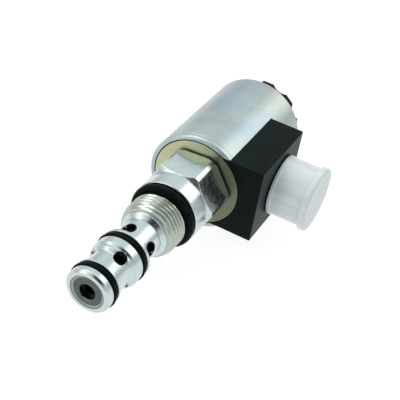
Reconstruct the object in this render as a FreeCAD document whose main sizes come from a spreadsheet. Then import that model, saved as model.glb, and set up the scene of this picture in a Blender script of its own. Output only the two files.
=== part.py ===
import FreeCAD, Part
import os
import re
import Sketcher

# Solenoid cartridge valve: a spool cartridge that screws into a manifold cavity, with its coil, coil nut
# and capped round connector.  Millimetres.  The cartridge's axis is Y: the nose points to -Y and the coil
# is at +Y.  The connector points to +X and Z is up.  The origin is on the axis, on the flange face that
# seats on the manifold.  Stations along the axis are Y values; sizes are lengths, radii and counts, and
# the sleeve's lengths chain from the hex body to the nose.

SIZES = {
    # sleeve, from the hex body to the nose: rear waist, rear land, front waist, front land
    "rear_waist_radius": 6.75,
    "rear_waist_length": 9.45,
    "rear_lip_radius": 8.7,
    "rear_land_tail": 1.2,
    "rear_land_radius": 8.5,
    "rear_land_run": 2.9,
    "rear_step_radius": 7.85,
    "rear_step_length": 1.0,
    "front_waist_radius": 6.9,
    "front_waist_length": 6.2,
    "front_lip_radius": 7.9,
    "front_land_tail": 0.75,
    "front_land_radius": 7.75,
    "front_lip_length": 2.6,
    "ring_groove_width": 2.65,
    "ring_groove_depth": 1.35,
    "nose_chamfer": 0.7,
    "crimp_width": 0.82,
    "crimp_depth": 0.36,
    "sleeve_tail": 5.0,
    "front_port_radius": 2.1,
    "rear_port_radius": 2.5,
    "front_port_setback": 6.1,
    "rear_port_setback": 3.85,
    "front_port_turn": 27.0,
    "rear_port_turn": -18.0,
    # what is inside the sleeve
    "spool_bore_radius": 4.5,
    "running_clearance": 0.03,
    "retainer_step": 0.53,
    "retainer_length": 2.84,
    "retainer_hole_radius": 2.79,
    "retainer_hole_depth": 1.8,
    "retainer_throat_radius": 1.7,
    "retainer_notch_radius": 0.5,
    "retainer_notch_turn": 55.0,
    "spool_front_overlap": 4.7,
    "spool_port_overlap": 0.3,
    "spool_port_opening": 0.6,
    "spool_tail_gap": 2.7,
    "spool_neck_radius": 3.6,
    "spool_pocket_radius": 3.0,
    "spool_pocket_depth": 5.8,
    "spring_radius": 2.45,
    "spring_wire_radius": 0.35,
    "spring_turns": 6.5,
    "pin_radius": 1.25,
    # seals
    "sleeve_ring_section": 0.9,
    "backup_ring_width": 0.7,
    "seat_ring_section": 1.5,
    "seal_gap": 0.05,
    # hex body, from its front to its back
    "body_front": 14.3,
    "body_front_lip": 0.2,
    "pilot_radius": 8.3,
    "pilot_cone_length": 1.2,
    "pilot_length": 0.5,
    "pilot_step_length": 0.3,
    "thread_radius": 10.0,
    "thread_depth": 0.92,
    "thread_pitch": 1.5,
    "thread_root_width": 0.19,
    "thread_crest_width": 0.19,
    "thread_grooves": 5,
    "thread_lead_in": 2.6,
    "thread_relief": 4.1,
    "undercut_radius": 8.75,
    "undercut_slope": 0.6,
    "flange_radius": 11.9,
    "flange_chamfer": 0.25,
    "flange_length": 6.9,
    "hex_width": 24.0,
    "hex_corner_trim": 0.456,
    "hex_turn": 26.0,
    "hex_cone_length": 1.1,
    "hex_length": 12.4,
    "hex_back_chamfer": 0.5,
    "chamber_step": 0.1,
    "socket_depth": 7.8,
    # solenoid tube and what moves in it
    "tube_radius": 9.0,
    "tube_wall": 0.8,
    "tube_setback": 0.8,
    "pole_length": 18.0,
    "pole_rim_width": 0.8,
    "pole_cup_depth": 1.2,
    "shim_radius": 4.0,
    "shim_thickness": 0.3,
    "break_lead": 3.3,
    "break_length": 6.0,
    "stroke": 2.2,
    "armature_rest_gap": 0.3,
    "armature_clearance": 0.15,
    "armature_groove_radius": 0.9,
    "plug_gap": 0.1,
    "plug_length": 5.5,
    # coil
    "coil_gap": 0.9,
    "coil_length": 47.6,
    "coil_radius": 18.0,
    "shell_wall": 1.6,
    "shell_rim_round": 1.1,
    "plate_thickness": 3.0,
    "plate_step": 0.34,
    "plate_step_depth": 0.9,
    "coil_bore_clearance": 0.1,
    "bobbin_wall": 1.2,
    "bobbin_flange": 1.0,
    "jacket_wall": 1.0,
    "coil_seal_clearance": 0.3,
    "coil_seal_wall": 1.7,
    # connector
    "box_half_height": 14.34,
    "box_length": 33.2,
    "box_proud": 0.2,
    "box_stand_out": 5.63,
    "box_edge_round": 0.5,
    "barrel_setback": 18.1,
    "barrel_radius": 9.9,
    "barrel_wall": 1.7,
    "barrel_length": 12.4,
    "barrel_floor": 1.8,
    "collar_step": 1.0,
    "collar_width": 0.45,
    "contact_radius": 0.8,
    "contact_spacing": 5.0,
    "contact_stand_out": 7.37,
    # protective cap
    "cap_clearance": 0.1,
    "cap_wall": 0.73,
    "cap_gap": 0.1,
    "cap_room": 1.37,
    "cap_end_wall": 1.2,
    "cap_rim_step": 0.97,
    "cap_rim_width": 2.4,
    "cap_foot_step": 0.37,
    "cap_foot_width": 1.2,
    # coil nut, its threaded insert and the stud that they turn on
    "nut_gap": 0.5,
    "nut_thickness": 6.2,
    "nut_roof": 1.35,
    "nut_radius": 15.0,
    "nut_clearance": 0.05,
    "nut_lobes": 9,
    "nut_scallop_radius": 4.6,
    "nut_scallop_depth": 1.4,
    "insert_wall": 1.9,
    "stud_radius": 6.0,
}

# Values worked out from the sizes above.  Each is an expression of sizes and of other derived values.
DERIVED = {
    "rear_land_end": "-body_front - rear_waist_length",
    "rear_ring_end": "rear_land_end - rear_land_tail",
    "rear_ring_start": "rear_ring_end - ring_groove_width",
    "rear_step_end": "rear_ring_start - rear_land_run - rear_land_radius + rear_step_radius",
    "rear_step_start": "rear_step_end - rear_step_length",
    "rear_land_start": "rear_step_start - rear_step_radius + front_waist_radius",
    "front_land_end": "rear_land_start - front_waist_length",
    "front_ring_end": "front_land_end - front_land_tail",
    "front_ring_start": "front_ring_end - ring_groove_width",
    "nose": "front_ring_start - front_lip_length",
    "front_port": "front_land_end + front_port_setback",
    "rear_port": "rear_land_end + rear_port_setback",
    "front_ring_floor": "front_land_radius - ring_groove_depth",
    "rear_ring_floor": "rear_land_radius - ring_groove_depth",
    "retainer_radius": "spool_bore_radius + retainer_step",
    "retainer_front": "nose + crimp_depth",
    "retainer_back": "retainer_front + retainer_length",
    "spool_radius": "spool_bore_radius - running_clearance",
    "spool_front": "front_port - spool_front_overlap",
    "spool_back": "-sleeve_tail - spool_tail_gap",
    "neck_start": "front_port + front_port_radius + spool_port_overlap",
    "neck_end": "rear_port + rear_port_radius + spool_port_opening",
    "spring_back": "spool_front + spool_pocket_depth",
    "spring_length": "spring_back - retainer_back",
    "pilot_start": "-body_front + pilot_cone_length",
    "pilot_end": "pilot_start + pilot_length",
    "thread_start": "pilot_end + pilot_step_length",
    "thread_end": "-thread_relief",
    "thread_root": "thread_radius - thread_depth",
    "groove_middle": "thread_end - thread_pitch / 2",
    "groove_half_mouth": "(thread_pitch - thread_crest_width) / 2",
    "hex_corner_radius": "hex_width / 2 / cos(30) - hex_corner_trim",
    "hex_cone_end": "flange_length + hex_cone_length",
    "hex_back": "hex_cone_end + hex_length",
    "chamber_radius": "spool_bore_radius + chamber_step",
    "socket_floor": "hex_back - socket_depth",
    "tube_bore": "tube_radius - tube_wall",
    "tube_end": "coil_back - tube_setback",
    "pin_hole": "pin_radius + armature_clearance",
    "pole_face": "coil_front + pole_length",
    "pole_rim": "pole_face + pole_cup_depth",
    "pole_cup_radius": "tube_bore - pole_rim_width - pole_cup_depth",
    "break_start": "pole_face - break_lead",
    "break_end": "break_start + break_length",
    "armature_front": "pole_face + shim_thickness + armature_rest_gap + stroke",
    "armature_back": "plug_front - plug_gap",
    "armature_radius": "tube_bore - armature_clearance",
    "armature_nose_radius": "pole_cup_radius - armature_clearance",
    "plug_front": "tube_end - plug_length",
    "coil_front": "hex_back + coil_gap",
    "coil_back": "coil_front + coil_length",
    "coil_bore": "tube_radius + coil_bore_clearance",
    "shell_bore": "coil_radius - shell_wall",
    "plate_step_radius": "shell_bore - plate_step",
    "front_plate_back": "coil_front + plate_thickness",
    "rear_plate_front": "coil_back - plate_thickness",
    "winding_radius": "shell_bore - jacket_wall",
    "winding_bore": "coil_bore + bobbin_wall",
    "winding_front": "front_plate_back + bobbin_flange",
    "winding_back": "rear_plate_front - bobbin_flange",
    "coil_seal_bore": "tube_radius + coil_seal_clearance",
    "coil_seal_radius": "coil_seal_bore + coil_seal_wall",
    "box_front": "coil_front - box_proud",
    "box_back": "box_front + box_length",
    "box_reach": "coil_radius + box_stand_out",
    "barrel_station": "coil_front + barrel_setback",
    "barrel_bore": "barrel_radius - barrel_wall",
    "barrel_end": "box_reach + barrel_length",
    "floor_end": "box_reach + barrel_floor",
    "collar_radius": "barrel_radius + collar_step",
    "collar_end": "box_reach + collar_width",
    "contact_reach": "box_reach + contact_stand_out",
    "cap_start": "collar_end + cap_gap",
    "cap_bore": "barrel_radius + cap_clearance",
    "cap_radius": "cap_bore + cap_wall",
    "cap_foot_radius": "cap_radius + cap_foot_step",
    "cap_foot_end": "cap_start + cap_foot_width",
    "cap_rim_radius": "cap_radius + cap_rim_step",
    "cap_ceiling": "barrel_end + cap_room",
    "cap_reach": "cap_ceiling + cap_end_wall",
    "cap_rim_start": "cap_reach - cap_rim_width",
    "nut_front": "coil_back + nut_gap",
    "nut_end": "nut_front + nut_thickness",
    "nut_ceiling": "nut_end - nut_roof",
    "stud_end": "nut_ceiling - nut_clearance",
    "stud_bore": "stud_radius + nut_clearance",
    "insert_radius": "stud_bore + insert_wall",
    "scallop_centre": "nut_radius - nut_scallop_depth + nut_scallop_radius",
}

doc = FreeCAD.newDocument("CartridgeValve")
sheet = doc.addObject("Spreadsheet::Sheet", "Sizes")
for row, (alias, value) in enumerate(SIZES.items(), start=1):
    sheet.set(f"A{row}", alias.replace("_", " "))
    sheet.set(f"B{row}", str(value))
    sheet.setAlias(f"B{row}", alias)
doc.recompute()

nodes = []
ALONG_Y = FreeCAD.Rotation(FreeCAD.Vector(1, 0, 0), -90)
ALONG_X = FreeCAD.Rotation(FreeCAD.Vector(0, 1, 0), 90)


def bound(text):
    """Spell out an expression of sizes and derived values in cells of the sheet."""
    def spell(match):
        word = match.group()
        if word in SIZES:
            return "Sizes." + word
        if word in DERIVED:
            return "(" + bound(DERIVED[word]) + ")"
        return word
    return re.sub(r"[a-z][a-z_]*", spell, text)


def number(text):
    """The present value of an expression of sizes."""
    return float(sheet.evalExpression(bound(text)))


def new_body(label):
    """An empty body that becomes one node."""
    body = doc.addObject("PartDesign::Body", label)
    body.Label = label
    nodes.append(body)
    return body


def origin_item(body, role):
    """One of the planes or axes of a body's origin."""
    return [item for item in body.Origin.OriginFeatures if item.Role == role][0]


def new_sketch(body, name, plane, turn=None, lift=None):
    """A sketch on a plane of its body's origin, turned about its own Y axis or lifted off the plane."""
    sketch = body.newObject("Sketcher::SketchObject", name)
    sketch.AttachmentSupport = [(origin_item(body, plane), "")]
    sketch.MapMode = "FlatFace"
    if turn is not None:
        about = FreeCAD.Rotation(FreeCAD.Vector(0, 1, 0), number(turn))
        sketch.AttachmentOffset = FreeCAD.Placement(FreeCAD.Vector(), about)
        sketch.setExpression("AttachmentOffset.Rotation.Angle", bound(turn))
    if lift is not None:
        sketch.setExpression("AttachmentOffset.Base.z", bound(lift))
    return sketch


def dimension(sketch, kind, place, text):
    """Hold one coordinate or radius of a sketch to an expression; a plain 0 holds a point on an axis."""
    if text == "0":
        axis = {"DistanceX": -2, "DistanceY": -1}[kind]
        sketch.addConstraint(Sketcher.Constraint("PointOnObject", place[0], place[1], axis))
        return
    start = () if kind == "Radius" else (-1, 1)
    index = sketch.addConstraint(Sketcher.Constraint(kind, *start, *place, number(text)))
    sketch.renameConstraint(index, f"size{index}")
    sketch.setExpression(f"Constraints.size{index}", bound(text))


def add_outline(sketch, points):
    """Draw a closed outline of straight lines through points given as pairs of expressions."""
    places = [FreeCAD.Vector(number(across), number(along), 0) for across, along in points]
    first = sketch.GeometryCount
    for index, place in enumerate(places):
        sketch.addGeometry(Part.LineSegment(place, places[(index + 1) % len(places)]), False)
    for index, (across, along) in enumerate(points):
        line = first + index
        following = first + (index + 1) % len(points)
        sketch.addConstraint(Sketcher.Constraint("Coincident", line, 2, following, 1))
        dimension(sketch, "DistanceX", (line, 1), across)
        dimension(sketch, "DistanceY", (line, 1), along)


def add_circle(sketch, across, along, radius):
    """Draw a circle whose centre and radius are expressions."""
    centre = FreeCAD.Vector(number(across), number(along), 0)
    index = sketch.addGeometry(Part.Circle(centre, FreeCAD.Vector(0, 0, 1), number(radius)), False)
    dimension(sketch, "DistanceX", (index, 3), across)
    dimension(sketch, "DistanceY", (index, 3), along)
    dimension(sketch, "Radius", (index,), radius)


def turn_outline(body, name, points, axis="V_Axis", feature="PartDesign::Revolution"):
    """Turn an outline of (radius, station) pairs about Y, or of (station, radius) pairs about X."""
    sketch = new_sketch(body, name + "Outline", "XY_Plane")
    add_outline(sketch, points)
    turned = body.newObject(feature, name)
    turned.Profile = sketch
    turned.ReferenceAxis = (sketch, [axis])
    turned.Angle = 360
    doc.recompute()
    return turned


def turned_body(label, points, axis="V_Axis"):
    """A whole node turned from one outline."""
    body = new_body(label)
    turn_outline(body, "Turned", points, axis)
    return body


def turned_ring(label, bore, radius, start, end):
    """A node that is one plain ring about the Y axis."""
    return turned_body(label, [(bore, start), (radius, start), (radius, end), (bore, end)])


def cut(body, name, sketch, length=None, reverse=False):
    """A pocket from a sketch: right through, or to a length given as an expression."""
    before = body.Shape.Volume
    pocket = body.newObject("PartDesign::Pocket", name)
    pocket.Profile = sketch
    pocket.Reversed = reverse
    if length is None:
        pocket.Type = 1
    else:
        pocket.setExpression("Length", bound(length))
    doc.recompute()
    if body.Shape.Volume > before - 1e-3:
        raise RuntimeError(f"{body.Label}: {name} cuts nothing")
    return pocket


def repeat_around(body, name, feature, count):
    """Repeat a feature evenly round the body's Y axis."""
    pattern = body.newObject("PartDesign::PolarPattern", name)
    pattern.Originals = [feature]
    pattern.Axis = (origin_item(body, "Y_Axis"), [""])
    pattern.Angle = 360
    pattern.setExpression("Occurrences", bound(count))
    body.Tip = pattern
    doc.recompute()


def repeat_along(body, name, feature, pitch, count):
    """Repeat a feature along the body's Y axis towards -Y, at a pitch."""
    pattern = body.newObject("PartDesign::LinearPattern", name)
    pattern.Originals = [feature]
    pattern.Direction = (origin_item(body, "Y_Axis"), [""])
    pattern.Reversed = True
    pattern.setExpression("Length", bound(f"{pitch} * ({count} - 1)"))
    pattern.setExpression("Occurrences", bound(count))
    body.Tip = pattern
    doc.recompute()


def round_edges(body, name, radius, wanted):
    """Fillet the edges of the body's last feature that a test picks out."""
    tip = body.Tip
    picked = [f"Edge{i}" for i, edge in enumerate(tip.Shape.Edges, start=1) if wanted(edge)]
    if not picked:
        raise RuntimeError(f"{body.Label}: {name} finds no edge")
    fillet = body.newObject("PartDesign::Fillet", name)
    fillet.Base = (tip, picked)
    fillet.setExpression("Radius", bound(radius))
    doc.recompute()


def is_circle(edge, radius):
    """True for a circular edge with this radius."""
    return isinstance(edge.Curve, Part.Circle) and abs(edge.Curve.Radius - number(radius)) < 1e-4


def placed(item, rotation, **places):
    """Turn a primitive and bind its place along each axis named to an expression."""
    item.Placement = FreeCAD.Placement(FreeCAD.Vector(), rotation)
    for axis, text in places.items():
        item.setExpression(f"Placement.Base.{axis}", bound(text))
    return item


def o_ring(label, centre_radius, section_radius, station):
    """A round-section seal ring about the Y axis."""
    torus = doc.addObject("Part::Torus", label)
    torus.Label = label
    torus.setExpression("Radius1", bound(centre_radius))
    torus.setExpression("Radius2", bound(section_radius))
    nodes.append(placed(torus, ALONG_Y, y=station))


def rod(name, radius, length, rotation, **places):
    """A round rod along the axis that the rotation gives it."""
    cylinder = doc.addObject("Part::Cylinder", name)
    cylinder.setExpression("Radius", bound(radius))
    cylinder.setExpression("Height", bound(length))
    return placed(cylinder, rotation, **places)


def turned_pair(across, along, turn):
    """A sketch point given as a pair of expressions, turned about the sketch's origin."""
    return (f"({across}) * cos({turn}) - ({along}) * sin({turn})",
            f"({across}) * sin({turn}) + ({along}) * cos({turn})")


def sleeve():
    """The stepped sleeve: lands with seal grooves, waists with ports, and the spool's bore."""
    body = turned_body("cartridge_sleeve", [
        ("retainer_radius + crimp_width", "nose"),
        ("front_land_radius - nose_chamfer", "nose"),
        ("front_land_radius", "nose + nose_chamfer"),
        ("front_land_radius", "front_ring_start"),
        ("front_ring_floor", "front_ring_start"),
        ("front_ring_floor", "front_ring_end"),
        ("front_lip_radius", "front_ring_end"),
        ("front_lip_radius", "front_land_end"),
        ("front_waist_radius", "front_land_end"),
        ("front_waist_radius", "rear_land_start"),
        ("rear_step_radius", "rear_step_start"),
        ("rear_step_radius", "rear_step_end"),
        ("rear_land_radius", "rear_ring_start - rear_land_run"),
        ("rear_land_radius", "rear_ring_start"),
        ("rear_ring_floor", "rear_ring_start"),
        ("rear_ring_floor", "rear_ring_end"),
        ("rear_lip_radius", "rear_ring_end"),
        ("rear_lip_radius", "rear_land_end"),
        ("rear_waist_radius", "rear_land_end"),
        ("rear_waist_radius", "-sleeve_tail"),
        ("spool_bore_radius", "-sleeve_tail"),
        ("spool_bore_radius", "retainer_back"),
        ("retainer_radius", "retainer_back"),
        ("retainer_radius", "retainer_front"),
    ])
    for place in ("front", "rear"):
        sketch = new_sketch(body, f"{place}PortOutline", "XY_Plane", turn=f"{place}_port_turn")
        add_circle(sketch, "0", f"{place}_port", f"{place}_port_radius")
        port = cut(body, f"{place}Port", sketch, reverse=True)
        repeat_around(body, f"{place}Ports", port, "4")


def nose_retainer():
    """The crimped disc that closes the nose and carries the spring; its hole is the nose port."""
    body = turned_body("nose_retainer", [
        ("retainer_hole_radius", "retainer_front"),
        ("retainer_radius", "retainer_front"),
        ("retainer_radius", "retainer_back"),
        ("retainer_throat_radius", "retainer_back"),
        ("retainer_throat_radius", "retainer_front + retainer_hole_depth"),
        ("retainer_hole_radius", "retainer_front + retainer_hole_depth"),
    ])
    sketch = new_sketch(body, "NotchOutline", "XZ_Plane", lift="-retainer_front")
    add_circle(sketch, "-retainer_hole_radius * cos(retainer_notch_turn)",
               "-retainer_hole_radius * sin(retainer_notch_turn)", "retainer_notch_radius")
    cut(body, "Notch", sketch, length="2 * retainer_notch_radius")


def sleeve_seals():
    """An O-ring with a flat backup ring behind it in each groove of the sleeve."""
    for place in ("front", "rear"):
        start = f"{place}_ring_start"
        end = f"{place}_ring_end"
        floor = f"{place}_ring_floor"
        o_ring(f"{place}_o_ring", f"{floor} + sleeve_ring_section", "sleeve_ring_section",
               f"({start} + {end} - backup_ring_width) / 2")
        turned_ring(f"{place}_backup_ring", floor, f"{place}_land_radius", f"{end} - backup_ring_width", end)


def spool():
    """The sliding spool: two lands, a neck between them and a pocket for the spring."""
    turned_body("spool", [
        ("spool_pocket_radius", "spool_front"),
        ("spool_radius", "spool_front"),
        ("spool_radius", "neck_start"),
        ("spool_neck_radius", "neck_start"),
        ("spool_neck_radius", "neck_end"),
        ("spool_radius", "neck_end"),
        ("spool_radius", "spool_back"),
        ("0", "spool_back"),
        ("0", "spring_back"),
        ("spool_pocket_radius", "spring_back"),
    ])


def return_spring():
    """The wire spring between the nose retainer and the end of the spool's pocket."""
    coil_height = "(spring_length - 2 * spring_wire_radius)"
    path = doc.addObject("Part::Helix", "SpringPath")
    path.setExpression("Radius", bound("spring_radius"))
    path.setExpression("Height", bound(coil_height))
    path.setExpression("Pitch", bound(f"{coil_height} / spring_turns"))
    wire = doc.addObject("Part::Circle", "SpringWire")
    wire.setExpression("Radius", bound("spring_wire_radius"))
    placed(wire, FreeCAD.Rotation(FreeCAD.Vector(1, 0, 0), 90), x="spring_radius")
    spring = doc.addObject("Part::Sweep", "return_spring")
    spring.Label = "return_spring"
    spring.Sections = [wire]
    spring.Spine = (path, [])
    spring.Solid = True
    spring.Frenet = True
    nodes.append(placed(spring, ALONG_Y, y="retainer_back + spring_wire_radius"))


def hex_body():
    """The adapter: pilot, port thread, seat flange and hexagon, bored for the sleeve and the tube."""
    body = turned_body("hex_body", [
        ("rear_waist_radius", "-body_front"),
        ("rear_waist_radius + body_front_lip", "-body_front"),
        ("pilot_radius", "pilot_start"),
        ("pilot_radius", "pilot_end"),
        ("thread_root", "thread_start"),
        ("thread_radius", "thread_start + thread_lead_in"),
        ("thread_radius", "thread_end"),
        ("undercut_radius", "thread_end + undercut_slope"),
        ("undercut_radius", "0"),
        ("flange_radius - flange_chamfer", "0"),
        ("flange_radius", "flange_chamfer"),
        ("flange_radius", "flange_length"),
        ("hex_corner_radius", "hex_cone_end"),
        ("hex_corner_radius", "hex_back - hex_back_chamfer"),
        ("hex_corner_radius - hex_back_chamfer", "hex_back"),
        ("tube_radius", "hex_back"),
        ("tube_radius", "socket_floor"),
        ("chamber_radius", "socket_floor"),
        ("chamber_radius", "-sleeve_tail"),
        ("rear_waist_radius", "-sleeve_tail"),
    ])
    groove = turn_outline(body, "ThreadGroove", [
        ("thread_root", "groove_middle - thread_root_width / 2"),
        ("thread_radius", "groove_middle - groove_half_mouth"),
        ("thread_radius + thread_depth", "groove_middle - groove_half_mouth"),
        ("thread_radius + thread_depth", "groove_middle + groove_half_mouth"),
        ("thread_radius", "groove_middle + groove_half_mouth"),
        ("thread_root", "groove_middle + thread_root_width / 2"),
    ], feature="PartDesign::Groove")
    repeat_along(body, "ThreadGrooves", groove, "thread_pitch", "thread_grooves")
    sketch = new_sketch(body, "FlatOutline", "XZ_Plane", lift="-flange_length")
    flat = "hex_width / 2"
    outside = "hex_width"
    corners = [(flat, "-hex_width / 2"), (flat, "hex_width / 2"),
               (outside, "hex_width / 2"), (outside, "-hex_width / 2")]
    add_outline(sketch, [turned_pair(across, along, "60 - hex_turn") for across, along in corners])
    flat_cut = cut(body, "Flat", sketch, length="hex_back - flange_length + hex_back_chamfer")
    repeat_around(body, "Flats", flat_cut, "6")


def solenoid_tube():
    """Push pin, pole piece, the tube with its non-magnetic break, armature and end plug."""
    pin = rod("push_pin", "pin_radius", "armature_front - spool_back", ALONG_Y, y="spool_back")
    pin.Label = "push_pin"
    nodes.append(pin)
    turned_body("pole_piece", [
        ("pin_hole", "socket_floor"),
        ("tube_radius", "socket_floor"),
        ("tube_radius", "hex_back"),
        ("tube_bore", "hex_back"),
        ("tube_bore", "pole_rim"),
        ("tube_bore - pole_rim_width", "pole_rim"),
        ("pole_cup_radius", "pole_face"),
        ("pin_hole", "pole_face"),
    ])
    turned_ring("pole_shim", "pin_hole", "shim_radius", "pole_face", "pole_face + shim_thickness")
    turned_ring("tube_front", "tube_bore", "tube_radius", "hex_back", "break_start")
    turned_ring("tube_break_ring", "tube_bore", "tube_radius", "break_start", "break_end")
    turned_ring("tube_rear", "tube_bore", "tube_radius", "break_end", "tube_end")
    armature = turned_body("armature", [
        ("0", "armature_front"),
        ("armature_nose_radius", "armature_front"),
        ("armature_radius", "armature_front + armature_radius - armature_nose_radius"),
        ("armature_radius", "armature_back"),
        ("0", "armature_back"),
    ])
    sketch = new_sketch(armature, "OilGrooveOutline", "XZ_Plane", lift="-armature_front")
    add_circle(sketch, "0", "armature_radius", "armature_groove_radius")
    groove = cut(armature, "OilGroove", sketch)
    repeat_around(armature, "OilGrooves", groove, "2")
    turned_body("tube_plug", [
        ("0", "plug_front"),
        ("tube_bore", "plug_front"),
        ("tube_bore", "tube_end"),
        ("stud_radius", "tube_end"),
        ("stud_radius", "stud_end"),
        ("0", "stud_end"),
    ])


def plate(label, inner, outer, step):
    """A pole plate of the coil: full width on its inner side, stepped down at its outer face."""
    turned_body(label, [
        ("coil_bore", inner),
        ("shell_bore", inner),
        ("shell_bore", step),
        ("plate_step_radius", step),
        ("plate_step_radius", outer),
        ("coil_bore", outer),
    ])


def coil():
    """The coil can with its two pole plates, bobbin and winding, and the seal at its front."""
    turned_ring("coil_front_seal", "coil_seal_bore", "coil_seal_radius", "hex_back", "coil_front - seal_gap")
    plate("coil_front_plate", "front_plate_back", "coil_front", "coil_front + plate_step_depth")
    plate("coil_rear_plate", "rear_plate_front", "coil_back", "coil_back - plate_step_depth")
    turned_body("coil_bobbin", [
        ("coil_bore", "front_plate_back"),
        ("winding_radius", "front_plate_back"),
        ("winding_radius", "winding_front"),
        ("winding_bore", "winding_front"),
        ("winding_bore", "winding_back"),
        ("winding_radius", "winding_back"),
        ("winding_radius", "rear_plate_front"),
        ("coil_bore", "rear_plate_front"),
    ])
    turned_ring("coil_winding", "winding_bore", "winding_radius", "winding_front", "winding_back")
    shell = turned_ring("coil_shell", "shell_bore", "coil_radius", "coil_front", "coil_back")
    round_edges(shell, "Rims", "shell_rim_round", lambda edge: is_circle(edge, "coil_radius"))
    sketch = new_sketch(shell, "SlotOutline", "XZ_Plane", lift="-box_front")
    add_outline(sketch, [
        ("0", "-box_half_height"),
        ("box_reach", "-box_half_height"),
        ("box_reach", "box_half_height"),
        ("0", "box_half_height"),
    ])
    cut(shell, "Slot", sketch, length="box_length")


def contact_bores(body, station):
    """The two bores that the contacts sit in, at a station of the body's own frame."""
    sketch = new_sketch(body, "ContactOutline", "YZ_Plane")
    for side in ("1", "-1"):
        add_circle(sketch, station, f"{side} * contact_spacing / 2", "contact_radius")
    cut(body, "ContactBores", sketch, reverse=True)


def connector_box():
    """The moulded box on the coil's side, one piece with the jacket round the winding."""
    box = new_body("connector_box")
    sketch = new_sketch(box, "BlockOutline", "XY_Plane")
    add_outline(sketch, [
        ("0", "box_front"),
        ("box_reach", "box_front"),
        ("box_reach", "box_back"),
        ("0", "box_back"),
    ])
    block = box.newObject("PartDesign::Pad", "Block")
    block.Profile = sketch
    block.Midplane = True
    block.setExpression("Length", bound("2 * box_half_height"))
    doc.recompute()
    round_edges(box, "BlockEdges", "box_edge_round",
                lambda edge: any(vertex.X > number("coil_radius") for vertex in edge.Vertexes))
    turn_outline(box, "CoilRoom", [
        ("0", "box_front - box_proud"),
        ("shell_bore", "box_front - box_proud"),
        ("shell_bore", "front_plate_back"),
        ("winding_radius", "front_plate_back"),
        ("winding_radius", "rear_plate_front"),
        ("0", "rear_plate_front"),
    ], feature="PartDesign::Groove")
    turn_outline(box, "Jacket", [
        ("winding_radius", "front_plate_back"),
        ("shell_bore", "front_plate_back"),
        ("shell_bore", "rear_plate_front"),
        ("winding_radius", "rear_plate_front"),
    ])
    contact_bores(box, "barrel_station")


def connector_barrel():
    """The round socket on the box, with its floor, and the two contacts that stand in it."""
    barrel = turned_body("connector_barrel", [
        ("box_reach", "0"),
        ("box_reach", "collar_radius"),
        ("collar_end", "collar_radius"),
        ("collar_end", "barrel_radius"),
        ("barrel_end", "barrel_radius"),
        ("barrel_end", "barrel_bore"),
        ("floor_end", "barrel_bore"),
        ("floor_end", "0"),
    ], axis="H_Axis")
    barrel.setExpression("Placement.Base.y", bound("barrel_station"))
    contact_bores(barrel, "0")
    contacts = doc.addObject("Part::MultiFuse", "contact_pins")
    contacts.Label = "contact_pins"
    contacts.Shapes = [
        rod(name, "contact_radius", "contact_reach - winding_radius", ALONG_X, x="winding_radius",
            y="barrel_station", z=f"{side} * contact_spacing / 2")
        for name, side in (("PinUp", "1"), ("PinDown", "-1"))
    ]
    nodes.append(contacts)


def protective_cap():
    """The push-on cap over the barrel, with a foot ring, a plain body and a wider end rim."""
    cap = turned_body("protective_cap", [
        ("cap_start", "cap_bore"),
        ("cap_start", "cap_foot_radius"),
        ("cap_foot_end", "cap_foot_radius"),
        ("cap_foot_end", "cap_radius"),
        ("cap_rim_start", "cap_radius"),
        ("cap_rim_start", "cap_rim_radius"),
        ("cap_reach", "cap_rim_radius"),
        ("cap_reach", "0"),
        ("cap_ceiling", "0"),
        ("cap_ceiling", "cap_bore"),
    ], axis="H_Axis")
    cap.setExpression("Placement.Base.y", bound("barrel_station"))


def coil_nut():
    """The lobed plastic nut with its threaded insert, and the seal that it presses on the coil."""
    nut = turned_body("coil_nut", [
        ("insert_radius", "nut_front"),
        ("nut_radius", "nut_front"),
        ("nut_radius", "nut_end"),
        ("0", "nut_end"),
        ("0", "nut_ceiling"),
        ("insert_radius", "nut_ceiling"),
    ])
    sketch = new_sketch(nut, "ScallopOutline", "XZ_Plane", lift="-nut_front")
    add_circle(sketch, "scallop_centre * sin(180 / nut_lobes)", "scallop_centre * cos(180 / nut_lobes)",
               "nut_scallop_radius")
    scallop = cut(nut, "Scallop", sketch)
    repeat_around(nut, "Scallops", scallop, "nut_lobes")
    turned_ring("nut_insert", "stud_bore", "insert_radius", "nut_front", "nut_ceiling")
    turned_ring("coil_rear_seal", "coil_seal_bore", "coil_seal_radius", "coil_back + seal_gap", "nut_front")


sleeve()
nose_retainer()
sleeve_seals()
spool()
return_spring()
hex_body()
o_ring("seat_o_ring", "undercut_radius + seat_ring_section", "seat_ring_section",
       "-seat_ring_section - seal_gap")
solenoid_tube()
coil()
connector_box()
connector_barrel()
protective_cap()
coil_nut()
doc.recompute()

for item in doc.Objects:
    if "Invalid" in item.State or "Error" in item.State:
        raise RuntimeError(f"{item.Label} did not recompute: {item.State}")
for node in nodes:
    if node.Shape.isNull() or not node.Shape.isValid():
        raise RuntimeError(f"{node.Label} has no valid shape")

os.makedirs("parts", exist_ok=True)
for node in nodes:
    node.Shape.exportStep(f"parts/{node.Label}.step")
    print(f"{node.Label:20s} {len(node.Shape.Solids)} solid(s)  {node.Shape.Volume:9.1f} mm3")
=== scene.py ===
"""Looks of a solenoid cartridge valve: turned sleeve and hex body, coil can, connector box, cap and nut."""
import math
from functools import cache

import bmesh
import bpy
import numpy as np
from bpy.props import FloatProperty, FloatVectorProperty, IntProperty, PointerProperty
from mathutils import Matrix, Vector


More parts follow.
